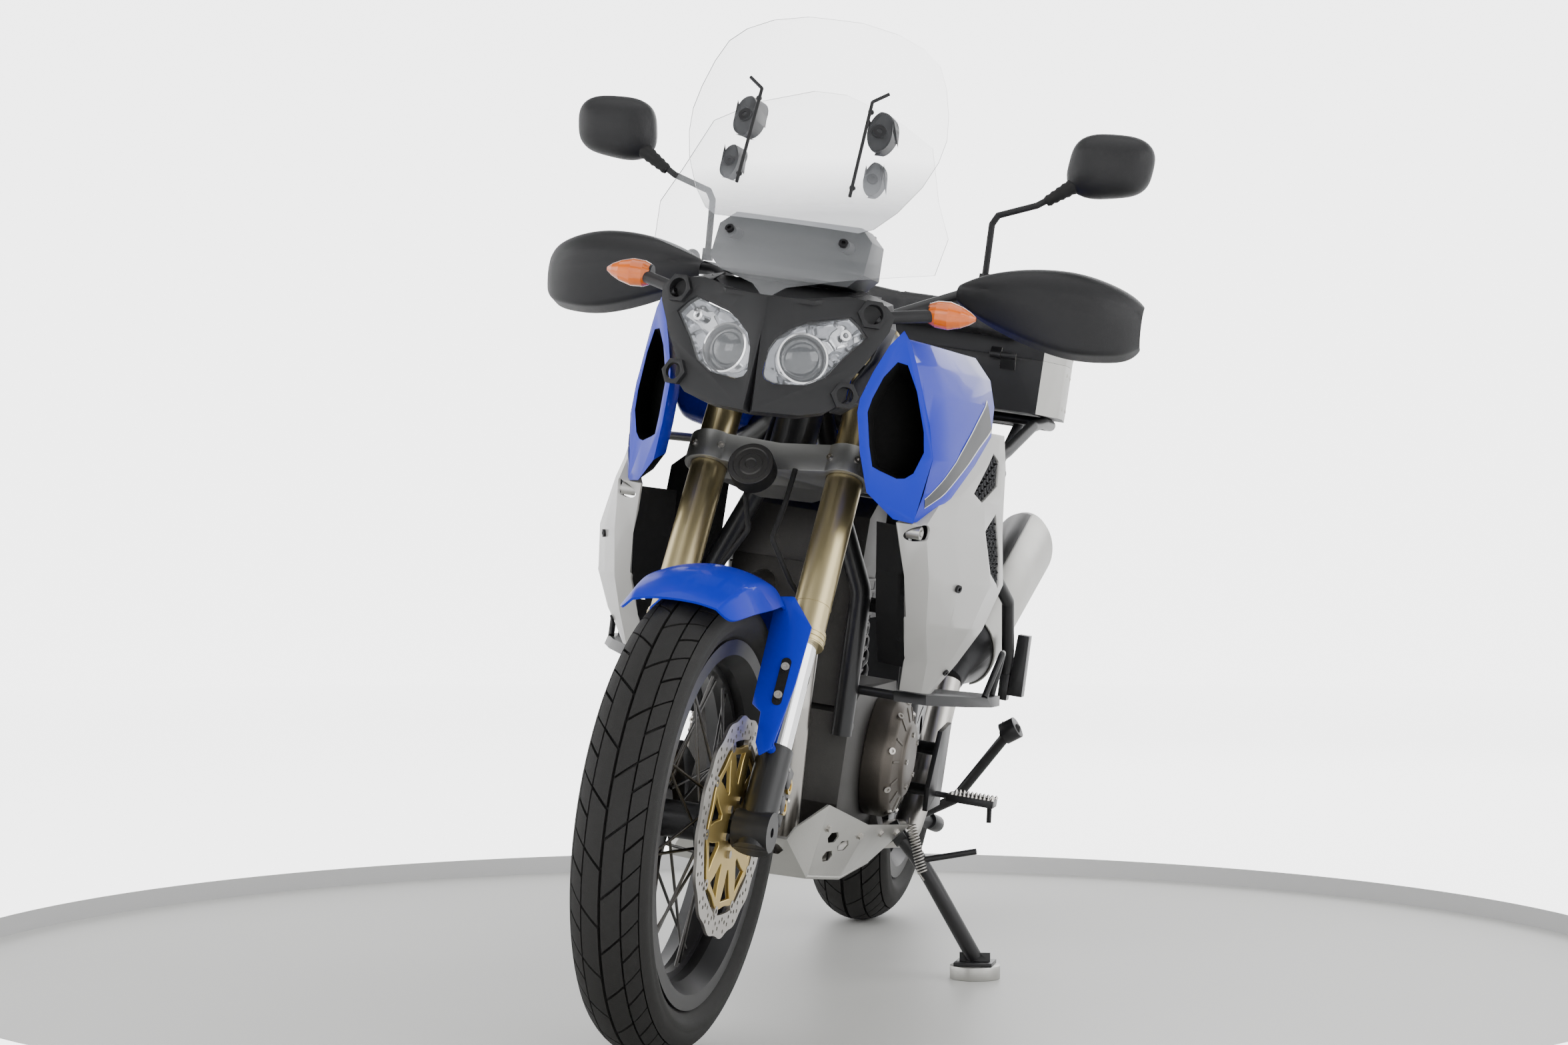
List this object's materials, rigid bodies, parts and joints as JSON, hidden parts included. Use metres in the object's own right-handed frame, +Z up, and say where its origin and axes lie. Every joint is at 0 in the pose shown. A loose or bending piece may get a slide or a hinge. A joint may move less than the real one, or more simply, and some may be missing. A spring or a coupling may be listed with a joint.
{
  "type": "adventure motorcycle",
  "caption": "Tall touring motorcycle with spoked wheels, lamp nose, adjustable screen and top case, parked leaning on its side stand; steering, wheels, stands and case lid move.",
  "frame": {"origin": "centre of the bounding box, at floor level", "axes": "+X towards the front wheel, +Y to the rider's left, +Z up; the machine leans to its left on its side stand"},
  "size_m": [2.2543, 0.9607, 1.4676],
  "materials": {
    "frame_black": "satin powder coat",
    "engine_grey": "cast, satin",
    "cover_bronze": "satin paint on castings",
    "alloy": "brushed",
    "dark_alloy": "anodised, satin",
    "steel": "brushed",
    "chrome": "polished",
    "gold": "gold anodised",
    "tyre": "block tread",
    "rubber": "matt",
    "blue_paint": "metallic, glossy",
    "silver_paint": "metallic silver",
    "black_plastic": "fine grain",
    "grey_plastic": "fine grain",
    "clear_screen": "clear polycarbonate",
    "tinted_screen": "clear polycarbonate, tinted low down",
    "lamp_cover": "clear polycarbonate",
    "lamp_chrome": "vacuum metallised",
    "amber": "translucent amber",
    "seat_cover": "grained vinyl"
  },
  "bodies": {
    "chassis": {"main_frame": "frame_black", "subframe": "frame_black", "engine_case": "engine_grey", "engine_cover_left": "cover_bronze", "clutch_cover_right": "cover_bronze", "airbox": "black_plastic", "radiator": "dark_alloy", "exhaust_headers": "steel", "muffler": "steel", "muffler_shield": "alloy", "swing_arm": "dark_alloy", "rear_shock": "steel", "hugger": "black_plastic", "rider_pegs": "steel", "passenger_hangers": "alloy", "fuel_tank": "blue_paint", "rider_seat": "seat_cover", "pillion_seat": "seat_cover", "tail_unit": "black_plastic", "rear_rack": "frame_black", "top_case_base": "black_plastic", "nose_fascia": "black_plastic", "headlamps": "lamp_chrome", "lamp_lenses": "lamp_cover", "indicator_left": "amber", "indicator_right": "amber", "windscreen_lower": "clear_screen", "windscreen_upper": "tinted_screen", "screen_sliders": "black_plastic", "dash_panel": "grey_plastic", "scoop_left": "blue_paint", "scoop_right": "blue_paint", "side_cowl_left": "silver_paint", "side_cowl_right": "silver_paint", "grilles": "black_plastic", "inner_cowls": "black_plastic", "lower_guards": "black_plastic", "skid_plate": "alloy"},
    "rear_wheel": {"rear_tyre": "tyre", "rear_rim": "dark_alloy", "rear_hub": "dark_alloy"},
    "case_lid": {"top_case_lid": "black_plastic", "back_pad": "rubber"},
    "side_stand": {"side_stand": "frame_black", "stand_puck": "alloy"},
    "centre_stand": {"centre_stand": "frame_black"},
    "steering": {"triple_clamps": "frame_black", "fork_tubes": "gold", "fork_legs": "chrome", "front_calipers": "dark_alloy", "front_fender": "blue_paint", "horn": "black_plastic", "brake_hoses": "rubber", "handlebar": "dark_alloy", "hand_guards": "black_plastic", "mirrors": "black_plastic"},
    "front_wheel": {"front_tyre": "tyre", "front_rim": "dark_alloy", "front_hub": "dark_alloy", "front_discs": "steel"}
  },
  "joints": [
    {"name": "steering_turn", "type": "hinge", "parent": "chassis", "child": "steering", "pos_m": [0.45524, -0.0418, 0.87424], "axis": [-0.4699, 0.1336, 0.8726], "range_deg": [-30.4, 39.6]},
    {"name": "front_wheel_spin", "type": "hinge", "parent": "steering", "child": "front_wheel", "pos_m": [0.79883, -0.12903, 0.32727], "axis": [0.0709, 0.991, -0.1135], "continuous": true},
    {"name": "rear_wheel_spin", "type": "hinge", "parent": "chassis", "child": "rear_wheel", "pos_m": [-0.74105, -0.1268, 0.31823], "axis": [0.0001, 0.9885, -0.1513], "continuous": true},
    {"name": "side_stand_fold", "type": "hinge", "parent": "chassis", "child": "side_stand", "pos_m": [-0.00601, 0.03034, 0.23482], "axis": [-0.1002, 0.8565, 0.5063], "range_deg": [0, 70]},
    {"name": "centre_stand_swing", "type": "hinge", "parent": "chassis", "child": "centre_stand", "pos_m": [-0.19603, -0.13209, 0.28387], "axis": [-0.0001, -0.9885, 0.1513], "range_deg": [0, 90]},
    {"name": "case_lid_hinge", "type": "hinge", "parent": "chassis", "child": "case_lid", "pos_m": [-0.66138, -0.01139, 1.07248], "axis": [0.0001, 0.9885, -0.1513], "range_deg": [0, 70]}
  ]
}
